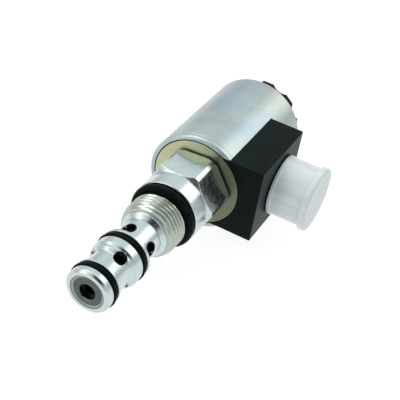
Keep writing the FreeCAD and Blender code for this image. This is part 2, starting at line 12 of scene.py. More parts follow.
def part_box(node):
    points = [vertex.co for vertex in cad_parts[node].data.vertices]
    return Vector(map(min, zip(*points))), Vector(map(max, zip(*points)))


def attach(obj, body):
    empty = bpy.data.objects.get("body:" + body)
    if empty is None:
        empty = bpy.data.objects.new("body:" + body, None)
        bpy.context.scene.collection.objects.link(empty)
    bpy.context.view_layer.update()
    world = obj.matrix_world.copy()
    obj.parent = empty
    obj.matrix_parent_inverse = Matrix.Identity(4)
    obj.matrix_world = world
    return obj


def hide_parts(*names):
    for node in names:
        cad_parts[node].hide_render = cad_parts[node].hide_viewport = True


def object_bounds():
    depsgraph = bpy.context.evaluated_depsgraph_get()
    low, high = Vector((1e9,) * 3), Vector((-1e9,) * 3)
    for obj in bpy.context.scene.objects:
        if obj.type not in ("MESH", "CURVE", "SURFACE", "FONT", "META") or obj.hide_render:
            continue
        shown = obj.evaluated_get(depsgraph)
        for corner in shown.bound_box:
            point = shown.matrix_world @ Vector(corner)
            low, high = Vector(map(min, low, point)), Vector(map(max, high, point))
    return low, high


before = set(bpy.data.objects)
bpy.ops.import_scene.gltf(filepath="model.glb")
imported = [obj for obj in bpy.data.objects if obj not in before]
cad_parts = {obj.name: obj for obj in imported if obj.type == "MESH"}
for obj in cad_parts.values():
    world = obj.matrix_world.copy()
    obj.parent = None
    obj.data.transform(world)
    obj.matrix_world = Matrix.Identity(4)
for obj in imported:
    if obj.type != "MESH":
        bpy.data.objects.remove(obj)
cad_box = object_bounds()

bl_info = {
    "name": "Cartridge Valve",
    "version": (1, 0, 0),
    "blender": (4, 5, 0),
    "location": "3D View > Sidebar > Valve",
    "description": "Builds the visible pieces, finishes and studio of a solenoid cartridge valve",
    "category": "Add Mesh",
}

MM = 0.001
EVERYWHERE = 1.0  # Metres: further than any point of the valve


# Sizes that the frame already holds -------------------------------------------------------------------

def span(node, axis):
    """Lowest and highest coordinate of a CAD node along an axis, in metres."""
    low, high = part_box(node)
    return low[axis], high[axis]


def reach(node, axis=2):
    """Largest distance of a CAD node from the valve's centre line along an axis, in metres."""
    return max(abs(value) for value in span(node, axis))


# Properties --------------------------------------------------------------------------------------------

def length(note, value):
    """A size in metres whose default is given in millimetres."""
    return FloatProperty(description=note, default=value * MM, unit="LENGTH", precision=5)


def colour(note, value):
    """A linear colour."""
    return FloatVectorProperty(description=note, default=value, subtype="COLOR", size=3, min=0.0, max=1.0)


def turn(note, value):
    """An angle whose default is given in degrees."""
    return FloatProperty(description=note, default=math.radians(value), subtype="ANGLE")


class SleeveSizes(bpy.types.PropertyGroup):
    waist_radius: length("Radius between the rear land and the hex body", 6.75)
    rear_lip: length("Radius behind the rear seal groove", 8.7)
    rear_land: length("Radius of the sealing land", 8.5)
    rear_step: length("Radius of the step in front of the rear land", 7.85)
    front_waist: length("Radius between the two lands", 6.9)
    front_lip: length("Radius behind the front seal groove", 7.9)
    front_land: length("Radius of the land at the nose", 7.75)
    bore: length("Radius of the spool's bore", 4.5)
    mouth: length("Radius of the nose disc's seat", 5.03)
    crimp: length("Radius where the crimped lip starts", 5.85)
    disc_hole: length("Radius of the hole in the nose disc", 2.79)
    groove_depth: length("Depth of a seal groove", 1.35)
    groove_width: length("Width of a seal groove", 2.65)
    front_tail: length("Length of the lip behind the front groove", 0.75)
    rear_tail: length("Length of the lip behind the rear groove", 1.2)
    rear_run: length("Length of the rear land in front of its groove", 2.9)
    step_length: length("Length of the step in front of the rear land", 1.0)
    front_port: length("Radius of a front port", 2.1)
    rear_port: length("Radius of a rear port", 2.5)
    front_port_setback: length("From the front lip to the front ports", 6.1)
    rear_port_setback: length("From the rear lip to the rear ports", 3.85)
    port_edge: length("Width of the broken edge round a port", 0.06)
    edge: length("Radius of the broken edges", 0.09)
    nose_chamfer: length("Width of the chamfer at the nose", 0.7)
    front_ports_turn: turn("Turn of the front ports from the top", 27)
    rear_ports_turn: turn("Turn of the rear ports from the top", -18)


class HexSizes(bpy.types.PropertyGroup):
    front_lip: length("Width of the flat front round the sleeve", 0.2)
    pilot: length("Radius in front of the thread", 8.3)
    cone_length: length("Length of the cone in front of the pilot", 1.2)
    pilot_length: length("Length of the pilot", 0.5)
    pilot_step: length("Length of the step up to the thread's root", 0.3)
    lead_in: length("Length of the taper at the start of the thread", 2.6)
    relief: length("From the end of the thread to the seat", 4.1)
    undercut_slope: length("Length of the slope behind the thread", 0.6)
    thread: length("Outer radius of the port thread", 10.0)
    thread_depth: length("Depth of the port thread", 0.92)
    pitch: length("Pitch of the port thread", 1.5)
    undercut: length("Radius behind the thread, where the seat ring sits", 8.75)
    flange: length("Radius of the round flange", 11.9)
    flange_length: length("Length of the round flange", 6.9)
    hex_cone: length("Length of the cone in front of the hexagon", 1.1)
    across: length("Width of the hexagon", 24.0)
    corner: length("Radius that the hexagon's corners are turned to", 13.4)
    flange_chamfer: length("Chamfer at the front of the flange", 0.25)
    back_chamfer: length("Chamfer at the back of the hexagon", 0.5)
    chamber_step: length("How much wider the inner chamber is than the bore", 0.1)
    hexagon_turn: turn("Turn of the first corner from the top", 26)
    edge: length("Radius of the broken edges", 0.1)
    crest: length("How far the flanks would run past the crest, which leaves it flat", 0.10)
    thread_run_out: length("From the end of the thread to the end of its form", 0.2)
    thread_blend: length("Rounding where the thread's form starts to cut", 0.04)
    flat_blend: length("Rounding where a flat starts to cut", 0.05)
    flat_lead: length("How far in front of its cone the hexagon starts to cut", 0.05)


class SealSizes(bpy.types.PropertyGroup):
    flash: length("Height of the moulding line on a seal", 0.018)
    flash_width: FloatProperty(description="Half width of that line, in radians of the section", default=0.07)


class CoilSizes(bpy.types.PropertyGroup):
    wall: length("Wall of the can", 1.6)
    rim: length("Rounding of the can's rims", 1.1)
    rim_line: length("Depth of the rolling line behind the rim", 0.10)
    rim_line_setback: length("From the rim's rounding to the rolling line", 0.9)
    rim_line_width: length("Width of the rolling line", 0.24)
    plate_gap: length("Radial gap between a pole plate and the pole", 0.1)
    plate_step: length("Step at the edge of a pole plate", 0.34)
    plate_step_depth: length("Depth of that step", 0.9)
    edge: length("Radius of the broken edges", 0.12)


class BoxSizes(bpy.types.PropertyGroup):
    box_length: length("Length of the connector box along the coil", 33.2)
    half_height: length("Half the height of the connector box", 14.34)


class CapSizes(bpy.types.PropertyGroup):
    edge: length("Radius of the smallest broken edges", 0.05)
    wall: length("Wall of the cap", 0.73)
    end_wall: length("Thickness of the closed end", 1.2)
    foot_step: length("Height of the ring at the open end", 0.37)
    foot_width: length("Width of the ring at the open end", 1.2)
    rim_step: length("Height of the grip rim over the side", 0.97)
    rim_width: length("Width of the grip rim at the closed end", 2.4)
    round: length("Rounding of the rim's edge", 0.8)


class NutSizes(bpy.types.PropertyGroup):
    edge: length("Radius of the smallest broken edges", 0.05)
    lobes: IntProperty(description="Number of finger lobes", default=9, min=3)
    scallop: length("Radius of a hollow between two lobes", 4.6)
    scallop_depth: length("Depth of a hollow", 1.4)
    roof: length("Thickness of the closed back", 1.35)
    round: length("Rounding of the back edge", 0.8)
    dish: length("Depth of the dished middle of the back", 0.35)
    dish_rim: FloatProperty(description="Radius of the dish's rim as a share of the nut's", default=0.62)
    dish_floor: FloatProperty(description="Radius of the dish's floor as a share of the nut's", default=0.58)


class StudioSizes(bpy.types.PropertyGroup):
    camera_place: FloatVectorProperty(description="Where the camera stands", unit="LENGTH",
                                      default=(97.356 * MM, -210.689 * MM, 190.669 * MM))
    azimuth: turn("Turn of the view about the vertical", 22.171)
    elevation: turn("Height of the view above the horizon", 38.200)
    roll: turn("Roll of the camera", 10.210)
    focal: FloatProperty(description="Focal length in millimetres", default=82.489)
    sensor: FloatProperty(description="Width of the sensor in millimetres", default=36.0)
    far: FloatProperty(description="How far the camera sees, in metres", default=50.0)
    floor_half: length("Half the side of the floor", 6000)
    floor_colour: colour("Colour of the floor", (0.14, 0.14, 0.14))


class FinishColours(bpy.types.PropertyGroup):
    zinc: colour("Sleeve and hex body", (0.60, 0.68, 0.68))
    zinc_cloud: colour("Clouds in the bright zinc", (0.47, 0.54, 0.55))
    thread: colour("The warmer plate on the thread", (0.37, 0.40, 0.32))
    # Painted shade: the crimped lip is painted in this grey for its darker reflection
    crimp: colour("The crimped lip round the nose disc", (0.25, 0.29, 0.28))
    can: colour("Zinc plated coil can", (0.44, 0.52, 0.51))
    can_blue: colour("Bluish clouds on the can", (0.37, 0.45, 0.60))
    can_straw: colour("Yellowish clouds on the can", (0.52, 0.50, 0.36))
    can_drawn: colour("Drawn marks on the can", (0.34, 0.42, 0.46))
    chromate: colour("Yellow passivated pole plates", (0.56, 0.56, 0.37))
    # Painted shade laid on the plates towards the box's side
    chromate_dark: colour("The plates' film where it is thick", (0.11, 0.13, 0.09))
    disc: colour("Grey steel of the nose disc", (0.10, 0.125, 0.115))
    disc_cloud: colour("Clouds in the disc's grey", (0.09, 0.10, 0.10))
    rubber: colour("Black nitrile rubber", (0.0015, 0.0035, 0.0035))
    moulding: colour("Black glass filled nylon", (0.0015, 0.005, 0.0045))
    fibre: colour("Glass fibre at the nylon's surface", (0.03, 0.038, 0.036))
    # A paler colour laid over the whole face round the socket
    dust: colour("The duller nylon round the socket", (0.024, 0.036, 0.034))
    cap: colour("Milky polyethylene", (0.70, 0.75, 0.77))
    tin: colour("Tinned contacts", (0.72, 0.72, 0.70))
    core: colour("Soft iron of the core and tube", (0.50, 0.50, 0.52))
    ground: colour("Nitrided and ground steel", (0.035, 0.037, 0.04))
    brass: colour("Turned brass", (0.70, 0.50, 0.22))
    copper: colour("Enamelled copper", (0.60, 0.24, 0.10))


# Shader building ---------------------------------------------------------------------------------------

class Value:
    """A number on a shader socket. Arithmetic with numbers or other values adds Math nodes."""

    def __init__(self, finish, socket):
        self.finish = finish
        self.socket = socket

    def math(self, operation, *operands):
        """A Math node with these operands."""
        return self.finish.node("ShaderNodeMath", {"operation": operation}, dict(enumerate(operands)))

    def __add__(self, other):
        return self.math("ADD", self, other)

    __radd__ = __add__

    def __mul__(self, other):
        return self.math("MULTIPLY", self, other)

    __rmul__ = __mul__

    def __sub__(self, other):
        return self.math("SUBTRACT", self, other)

    def __rsub__(self, other):
        return self.math("SUBTRACT", other, self)

    def __pow__(self, other):
        return self.math("POWER", self, other)

    def steps(self, low, high, first=0.0, last=1.0):
        """first below low, last above high and a smooth climb between."""
        return self.finish.node("ShaderNodeMapRange", {"interpolation_type": "SMOOTHSTEP"},
                                {"Value": self, "From Min": low, "From Max": high, "To Min": first,
                                 "To Max": last})


class Shading:
    """A node tree being filled."""

    def __init__(self, tree):
        self.tree = tree

    def node(self, kind, settings=None, sockets=None, output=0):
        """A node with its settings made first, then its sockets filled with values or links."""
        node = self.tree.nodes.new(kind)
        for key, value in (settings or {}).items():
            setattr(node, key, value)
        for key, value in (sockets or {}).items():
            if isinstance(value, Value):
                self.tree.links.new(value.socket, node.inputs[key])
            else:
                node.inputs[key].default_value = value
        return Value(self, node.outputs[output])

    def parts(self, vector):
        """The three numbers of a vector."""
        split = self.node("ShaderNodeSeparateXYZ", sockets={0: vector})
        return [Value(self, socket) for socket in split.socket.node.outputs]


class Finish(Shading):
    """A material being built round one Principled shader."""

    def __init__(self, name, **constants):
        self.material = bpy.data.materials.new(name)
        self.material.use_nodes = True
        super().__init__(self.material.node_tree)
        self.shader = self.tree.nodes["Principled BSDF"]
        for socket, value in constants.items():
            self.shader.inputs[socket.replace("_", " ")].default_value = value

    def feed(self, socket, value):
        """Link a varying value to a socket of the shader."""
        self.tree.links.new(value.socket, self.shader.inputs[socket])

    def over(self, share, second):
        """Lay a second colour over the shade so far."""
        self.shade = self.mix(share, self.shade, second)

    def surface(self, roughness, height, distance):
        """The material, with its shade, its roughness and a relief: a height of 0 to 1 times a distance."""
        self.feed("Base Color", self.shade)
        self.feed("Roughness", roughness)
        self.feed("Normal", self.node("ShaderNodeBump", sockets={"Distance": distance, "Height": height}))
        return self.material

    def place(self):
        """The point in the object's own coordinates."""
        return self.node("ShaderNodeTexCoord", output="Object")

    def bearing(self, first, second):
        """The angle of two coordinates about a line, for marks that run along it."""
        return self.node("ShaderNodeMath", {"operation": "ARCTAN2"}, {0: first, 1: second})

    def vector(self, x, y, z):
        """A vector of three numbers."""
        return self.node("ShaderNodeCombineXYZ", sockets={0: x, 1: y, 2: z})

    def noise(self, where, scale, detail=3.0, roughness=0.55):
        """Smooth noise about 0.5."""
        return self.node("ShaderNodeTexNoise", sockets={"Vector": where, "Scale": scale, "Detail": detail,
                                                        "Roughness": roughness})

    def lines(self, where, scale, detail=3.0):
        """Noise along one number, for turning marks and drawn lines."""
        return self.node("ShaderNodeTexNoise", {"noise_dimensions": "1D"},
                         {"W": where, "Scale": scale, "Detail": detail, "Roughness": 0.6})

    def mix(self, share, first, second):
        """A colour between two colours."""
        def solid(value):
            return value if isinstance(value, Value) else (*value, 1.0)
        sockets = {0: share, 6: solid(first), 7: solid(second)}
        return self.node("ShaderNodeMix", {"data_type": "RGBA"}, sockets, output=2)


def tone(base, factor):
    """A colour made lighter or darker, still within range."""
    return tuple(min(1.0, channel * factor) for channel in base)


def radius_about_y(x, z):
    """Distance from the valve's centre line."""
    return (x * x + z * z) ** 0.5


# Widths over which one finish fades into another, and places where one starts
WARM_FADE = 0.6 * MM
# Where the painted shade on the crimped lip and its painted groove line fade
CRIMP_FADE = (0.2 * MM, 0.5 * MM)
CRIMP_EDGE = 0.05 * MM
CRIMP_GROOVE_SHADE = (0.25 * MM, 0.15 * MM)
# Painted shade in the bore: where it starts behind the nose, how far under the waist it reaches, and its fade
BORE_SHADE_FADE = 0.2 * MM
BORE_SHADE_START = 0.8 * MM
BORE_SHADE_DEPTH = 1.0 * MM
PLATE_SHADE = 10.0 * MM
# Fade of the painted shade in the gap at a plate's rim
PLATE_GAP_SHADE = 0.10 * MM
# Width of the painted shade inside the nose disc's hole
DISC_HOLE_SHADE = 0.7 * MM
PALE_FACE_FADE = 0.1 * MM
CAP_END = (0.6 * MM, 0.2 * MM)


def turned_metal(name, base, roughness, mark=0.008 * MM, tint=None, mottle=0.07, warm=None,
                 shaded_inside=None, crimp=None):
    """Plated turned steel: rings left by the tool, cloudy plating, fine dirt and oil-dark inner walls."""
    finish = Finish(name, Metallic=1.0, Specular_IOR_Level=0.5)
    place = finish.place()
    x, y, z = finish.parts(place)
    radius = radius_about_y(x, z)
    along = y + radius
    fine = finish.lines(along, 7000.0, 2.0)
    coarse = finish.lines(along, 1500.0, 2.0)
    cloud = finish.noise(place, 200.0, 3.0)
    speck = finish.noise(place, 2200.0, 3.0, 0.7)
    dirt = speck.steps(0.62, 0.80)
    finish.shade = finish.mix(cloud.steps(0.30, 0.72), tone(base, 1.0 - mottle), tone(base, 1.0 + mottle))
    finish.over(fine.steps(0.50, 0.72) * 0.22, tone(base, 0.70))
    if tint is not None:
        finish.over(finish.noise(place, 95.0, 2.0).steps(0.42, 0.68) * 0.5, tint)
    if warm is not None:
        start, end, warm_colour = warm
        zone = y.steps(start - WARM_FADE, start) * (1.0 - y.steps(end, end + WARM_FADE))
        finish.over(zone * 0.7, warm_colour)
    finish.over(dirt * 0.18, tone(base, 0.35))
    # Painted shade: the crimped lip round the nose disc is painted grey for its darker reflection, with a
    # darker painted groove line at its edge
    if crimp is not None:
        station, edge, crimp_shade_colour = crimp
        ahead = 1.0 - y.steps(station + CRIMP_FADE[0], station + CRIMP_FADE[1])
        inner = 1.0 - radius.steps(edge - CRIMP_EDGE, edge + CRIMP_EDGE)
        finish.over(ahead * inner, crimp_shade_colour)
        line = radius.steps(edge - CRIMP_GROOVE_SHADE[0], edge - CRIMP_EDGE)
        line = line * (1.0 - radius.steps(edge, edge + CRIMP_GROOVE_SHADE[1]))
        finish.over(ahead * line * 0.8, tone(crimp_shade_colour, 0.3))
    # Painted shade: inner walls under a radius and beyond a station are made nearly black, as shade in a bore
    # or hole
    if shaded_inside is not None:
        start, radius_low, radius_high = shaded_inside
        inner = (1.0 - radius.steps(radius_low, radius_high)) * y.steps(start, start + BORE_SHADE_FADE)
        finish.over(inner, tone(base, 0.06))
    mottled = finish.noise(place, 620.0, 3.0, 0.65).steps(0.35, 0.70)
    return finish.surface(roughness + mottled * 0.09 + fine * 0.08 + dirt * 0.10 - 0.11,
                          fine * 0.6 + coarse * 0.9 + speck * 0.12, mark)


@cache
def bright_zinc():
    """Bright zinc plate on the sleeve and hex body, warmer on the thread and grey on the crimped lip."""
    colours = settings("valve_colours")
    sleeve = settings("valve_sleeve")
    body = settings("valve_hex")
    nose = span("cartridge_sleeve", 1)[0]
    thread_start = span("hex_body", 1)[0] + body.cone_length + body.pilot_length
    # Painted shade in the sleeve's bore and the hex body's chamber
    bore_shade = (nose + BORE_SHADE_START, sleeve.waist_radius - BORE_SHADE_DEPTH, sleeve.waist_radius - BORE_SHADE_FADE)
    return turned_metal("bright_zinc", colours.zinc, 0.27, 0.0035 * MM, tint=colours.zinc_cloud, mottle=0.06,
                        warm=(thread_start, -body.relief, colours.thread), shaded_inside=bore_shade,
                        crimp=(nose, sleeve.crimp, colours.crimp))


def can_zinc():
    """Zinc plate on the drawn can: long drawn lines, a bluish cast and faint yellow clouds."""
    colours = settings("valve_colours")
    finish = Finish("can_zinc", Metallic=1.0)
    place = finish.place()
    x, y, z = finish.parts(place)
    drawn = finish.lines(finish.bearing(x, z), 90.0, 4.0)
    stretched = finish.noise(finish.vector(x * 3.0, y * 0.25, z * 3.0), 150.0, 4.0)
    cloud = finish.noise(place, 70.0, 3.0)
    grain = finish.noise(place, 1800.0, 3.0, 0.65)
    finish.shade = finish.mix(cloud.steps(0.35, 0.65), tone(colours.can, 0.90), tone(colours.can, 1.08))
    blue = finish.noise(finish.vector(x, y * 0.45, z), 75.0, 2.0).steps(0.46, 0.66)
    straw = finish.noise(finish.vector(x + 0.1, y * 0.4, z), 95.0, 3.0).steps(0.50, 0.66)
    finish.over(blue * 0.45, colours.can_blue)
    finish.over(straw * 0.45, colours.can_straw)
    finish.over(stretched.steps(0.52, 0.75) * 0.30, colours.can_drawn)
    finish.over(grain.steps(0.58, 0.78) * 0.22, tone(colours.can, 0.45))
    return finish.surface(0.24 + cloud * 0.12 + drawn * 0.08 + grain * 0.05,
                          drawn * 0.6 + stretched * 0.5 + grain * 0.3, 0.006 * MM)


@cache
def yellow_chromate():
    """Yellow passivation over zinc: a thin coloured film, thicker, greener and oily towards the box."""
    colours = settings("valve_colours")
    size = settings("valve_coil")
    finish = Finish("yellow_chromate", Metallic=1.0)
    place = finish.place()
    x, _, z = finish.parts(place)
    radius = radius_about_y(x, z)
    cloud = finish.noise(place, 150.0, 3.0)
    rings = finish.lines(radius, 2600.0, 2.0)
    speck = finish.noise(place, 2400.0, 3.0, 0.7)
    base = colours.chromate
    finish.shade = finish.mix(cloud.steps(0.35, 0.70), tone(base, 0.90), tone(base, 1.10))
    # Painted shade: the plates grow darker from the centre line towards +x, the box's side
    finish.over(x.steps(0.0, PLATE_SHADE) * 0.85, colours.chromate_dark)
    finish.over(rings.steps(0.50, 0.75) * 0.18, tone(base, 0.55))
    # Painted shade: the step at the plate's rim, in the gap by the can's wall, is made nearly black
    edge = span("coil_shell", 2)[1] - size.wall - size.plate_step
    finish.over(radius.steps(edge - PLATE_GAP_SHADE, edge), tone(base, 0.06))
    return finish.surface(0.34 + cloud * 0.08 + rings * 0.05 + speck * 0.05,
                          rings * 0.7 + speck * 0.3, 0.003 * MM)


def nose_disc_steel():
    """Plain grey steel of the pressed-in nose disc."""
    colours = settings("valve_colours")
    hole = settings("valve_sleeve").disc_hole
    return turned_metal("nose_disc_steel", colours.disc, 0.36, 0.006 * MM, tint=colours.disc_cloud,
                        mottle=0.12, shaded_inside=(-EVERYWHERE, hole - DISC_HOLE_SHADE, hole))


def seal_rubber():
    """Moulded rubber with a faint bloom."""
    rubber = settings("valve_colours").rubber
    finish = Finish("seal_rubber", Specular_IOR_Level=0.05)
    place = finish.place()
    bloom = finish.noise(place, 420.0, 4.0)
    grain = finish.noise(place, 5200.0, 2.0)
    finish.shade = finish.mix(bloom.steps(0.40, 0.75), rubber, tone(rubber, 2.6))
    return finish.surface(0.30 + bloom * 0.18 + grain * 0.08,
                          grain, 0.006 * MM)


def moulded_black(name, roughness, lift=1.0, pale_face_from=None):
    """Satin black glass filled nylon with a fine spark-eroded grain and dusty, paler patches."""
    colours = settings("valve_colours")
    finish = Finish(name, Specular_IOR_Level=0.07)
    place = finish.place()
    patch = finish.noise(place, 120.0, 4.0)
    grain = finish.noise(place, 3200.0, 3.0, 0.7)
    fibre = finish.noise(place, 900.0, 2.0)
    base = tone(colours.moulding, lift)
    finish.shade = finish.mix(patch.steps(0.35, 0.72), base, tone(base, 1.9))
    finish.over(grain.steps(0.64, 0.82) * 0.30, colours.fibre)
    # The face beyond pale_face_from, round the socket, is painted paler
    if pale_face_from is not None:
        x = finish.parts(place)[0]
        finish.over(x.steps(pale_face_from - PALE_FACE_FADE, pale_face_from), colours.dust)
    return finish.surface(roughness + patch * 0.10 + grain * 0.10 - 0.1,
                          grain * 0.8 + fibre * 0.4, 0.010 * MM)


def milky_cap():
    """Milky polyethylene: soft light through it, flow lines along its length, faint scuffs."""
    cap = settings("valve_colours").cap
    finish = Finish("milky_cap", Subsurface_Weight=0.35, Subsurface_Scale=1.2 * MM,
                    Subsurface_Radius=(1.0, 1.0, 0.95), Specular_IOR_Level=0.55, Coat_Roughness=0.2)
    place = finish.place()
    x, y, z = finish.parts(place)
    centre = sum(span("protective_cap", 1)) / 2
    end = span("protective_cap", 0)[1]
    flow = finish.lines(finish.bearing(y - centre, z), 3.2, 2.0)
    side = 1.0 - x.steps(end - CAP_END[0], end - CAP_END[1])
    haze = finish.noise(place, 160.0, 3.0)
    scuff = finish.noise(finish.vector(x * 0.3, y, z), 900.0, 3.0)
    finish.shade = finish.mix(flow.steps(0.38, 0.66) * side, cap, tone(cap, 0.90))
    finish.over(haze.steps(0.45, 0.70) * 0.4, tone(cap, 0.88))
    # Painted shade: the closed end is painted darker than the side
    finish.over(1.0 - side, tone(cap, 0.82))
    return finish.surface(0.30 + haze * 0.14 + scuff * 0.08,
                          flow * side * 0.4 + scuff * 0.10, 0.012 * MM)


# Surfaces ----------------------------------------------------------------------------------------------

ROUND_STEPS = 6
SUPPORT = 0.05 * MM


def rounded(corners, closed=True):
    """An outline with its corners rounded.

    A corner is (radius, station, rounding). Its arc touches both sides at rounding / tan(half the corner's
    angle) from the corner, and is swept by weighting the two spokes from its centre with sines.
    Two more points stand just outside each arc, so that the flat sides shade flat.
    """
    place = np.array([corner[:2] for corner in corners], float)
    want = np.array([corner[2] for corner in corners], float)
    back = np.roll(place, 1, 0) - place
    ahead = np.roll(place, -1, 0) - place
    back_length = np.linalg.norm(back, axis=1)
    ahead_length = np.linalg.norm(ahead, axis=1)
    back /= back_length[:, None]
    ahead /= ahead_length[:, None]
    half = 0.5 * np.arccos(np.clip((back * ahead).sum(1), -1, 1))
    touch = np.minimum(want / np.tan(half), 0.42 * np.minimum(back_length, ahead_length))
    radius = touch * np.tan(half)
    middle = back + ahead
    middle /= np.linalg.norm(middle, axis=1)[:, None]
    centre = place + middle * (radius / np.sin(half))[:, None]
    first = place + back * touch[:, None] - centre
    last = place + ahead * touch[:, None] - centre
    swing = (math.pi - 2 * half)[:, None, None]
    share = np.linspace(0, 1, ROUND_STEPS + 1)[None, :, None]
    arc = np.sin((1 - share) * swing) * first[:, None] + np.sin(share * swing) * last[:, None]
    arc = arc / np.sin(swing)
    extra = np.minimum(SUPPORT, 0.05 * np.minimum(back_length, ahead_length))
    lead = (centre + first + back * extra[:, None])[:, None]
    trail = (centre + last + ahead * extra[:, None])[:, None]
    points = np.concatenate([lead, arc + centre[:, None], trail], axis=1)
    if closed:
        return points.reshape(-1, 2)
    return np.concatenate([place[:1], points[1:-1].reshape(-1, 2), place[-1:]])


def refined(outline, step, closed=True):
    """The same outline with more points, no further apart than step, found by straight interpolation.

    step is a length, or gives the length to use from the radius and station of the middle of each side.
    """
    ring = np.concatenate([outline, outline[:1]]) if closed else outline
    if callable(step):
        middle = (ring[1:] + ring[:-1]) / 2
        step = step(middle[:, 0], middle[:, 1])
    run = np.concatenate([[0], np.cumsum(np.linalg.norm(np.diff(ring, axis=0), axis=1))])
    pieces = np.maximum(1, np.ceil(np.diff(run) / step)).astype(int)
    starts = np.repeat(run[:-1], pieces)
    inside = np.arange(pieces.sum()) - np.repeat(np.cumsum(pieces) - pieces, pieces)
    where = starts + inside * np.repeat(np.diff(run) / pieces, pieces)
    if not closed:
        where = np.append(where, run[-1])
    return np.column_stack([np.interp(where, run, ring[:, 0]), np.interp(where, run, ring[:, 1])])


def mesh_from_grid(name, points, wrap=True):
    """A mesh from a grid of points that closes round its first direction, and round its second if wrap."""
    rows, columns = points.shape[:2]
    index = np.arange(rows * columns).reshape(rows, columns)
    ahead = np.roll(index, -1, 0)
    if wrap:
        corners = [index, ahead, np.roll(ahead, -1, 1), np.roll(index, -1, 1)]
    else:
        corners = [index[:, :-1], ahead[:, :-1], ahead[:, 1:], index[:, 1:]]
    quads = np.stack([corner.ravel() for corner in corners], axis=1)
    flat = points.reshape(-1, 3)
    a, b, c, d = (flat[quads[:, i]] for i in range(4))
    volume = (np.cross(a, b) * c).sum() + (np.cross(a, c) * d).sum()
    if volume < 0:
        quads = quads[:, ::-1]
    mesh = bpy.data.meshes.new(name)
    mesh.vertices.add(len(flat))
    mesh.vertices.foreach_set("co", flat.astype(np.float32).ravel())
    mesh.loops.add(quads.size)
    mesh.loops.foreach_set("vertex_index", quads.ravel().astype(np.int32))
    mesh.polygons.add(len(quads))
    mesh.polygons.foreach_set("loop_start", np.arange(0, quads.size, 4, dtype=np.int32))
    mesh.update(calc_edges=True)
    piece = bpy.data.objects.new(name, mesh)
    bpy.context.collection.objects.link(piece)
    if not wrap:
        weld(mesh)
    finish_mesh(mesh)
    return piece


def weld(mesh):
    """Join the points that fall together on an axis."""
    work = bmesh.new()
    work.from_mesh(mesh)
    bmesh.ops.remove_doubles(work, verts=work.verts, dist=0.0005 * MM)
    work.to_mesh(mesh)
    work.free()


def finish_mesh(mesh, sharp=38.0):
    """Smooth shading with a break wherever two faces meet at more than an angle."""
    mesh.polygons.foreach_set("use_smooth", np.ones(len(mesh.polygons), bool))
    mesh.set_sharp_from_angle(angle=math.radians(sharp))
    mesh.update()


def turned(name, outline, count, closed=True, limit=None, centre=None):
    """A body of revolution about Y: (radius, station) at angle t is (radius sin t, station, radius cos t).

    With a centre it turns about a line along X instead: (station, centre + radius sin t, radius cos t).
    limit, if given, takes the grids of angle, radius and station, and gives the radius to use instead.
    """
    angle = np.arange(count)[:, None] * (2 * math.pi / count)
    radius = np.broadcast_to(outline[None, :, 0], (count, len(outline)))
    station = np.broadcast_to(outline[None, :, 1], radius.shape)
    if limit is not None:
        radius = limit(angle, radius, station)
    across = radius * np.sin(angle)
    first, second = (across, station) if centre is None else (station, centre + across)
    return mesh_from_grid(name, np.stack([first, second, radius * np.cos(angle)], axis=2), closed)


def soft_min(first, second, blend):
    """The smaller of two grids, with the crossing rounded off over about the blend length."""
    return (first + second - np.sqrt((first - second) ** 2 + blend ** 2)) / 2


def carve(piece, cutters):
    """Cut solids out of a piece and drop the cutters."""
    for cutter in cutters:
        modifier = piece.modifiers.new("cut", "BOOLEAN")
        modifier.operation = "DIFFERENCE"
        modifier.solver = "EXACT"
        modifier.object = cutter
    bpy.context.view_layer.update()
    shaped = bpy.data.meshes.new_from_object(piece.evaluated_get(bpy.context.evaluated_depsgraph_get()))
    piece.modifiers.clear()
    piece.data = shaped
    shaped.name = piece.name
    for cutter in cutters:
        bpy.data.objects.remove(cutter, do_unlink=True)
    finish_mesh(shaped)


DRILL_START = 0.6  # Where a drill starts, as a share of the bore's radius
DRILL_OVERRUN = 1.5 * MM
CUTTER_OVERRUN = 1 * MM


def port_drill(radius, edge, wall_radius, bore, station, bearing, count=64):
    """A radial drill with a flared mouth, which breaks the edge of the hole that it makes.

    Its outline is (drill radius, depth) turned about the drill's own line, which leaves the centre line of
    the valve at a station and a bearing from the top.
    """
    low = DRILL_START * bore
    high = wall_radius + DRILL_OVERRUN
    outline = np.array([(0, low), (radius, low), (radius, wall_radius - edge), (radius + 4 * edge, high),
                        (0, high)])
    angle = np.arange(count)[:, None] * (2 * math.pi / count)
    across = outline[None, :, 0] * np.sin(angle)
    along = station + outline[None, :, 0] * np.cos(angle)
    depth = np.broadcast_to(outline[None, :, 1], across.shape)
    out = (math.sin(bearing), math.cos(bearing))
    side = (math.cos(bearing), -math.sin(bearing))
    grid = np.stack([depth * out[0] + across * side[0], along, depth * out[1] + across * side[1]], axis=2)
    return mesh_from_grid("port_drill", grid, wrap=False)


def dress(piece, material, body, slot, *nodes):
    """Give a piece its finish, its body, its slot and the CAD nodes that it stands for."""
    piece.data.materials.clear()
    piece.data.materials.append(material)
    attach(piece, body)
    if nodes:
        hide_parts(*nodes)
    return piece


def paint(node, material):
    """Give a CAD node a finish."""
    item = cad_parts[node]
    if not item.material_slots:
        item.data.materials.append(material)
    for holder in item.material_slots:
        holder.material = material


def settings(name):
    """One of the scene's property groups."""
    return getattr(bpy.context.scene, name)


# Builders ----------------------------------------------------------------------------------------------

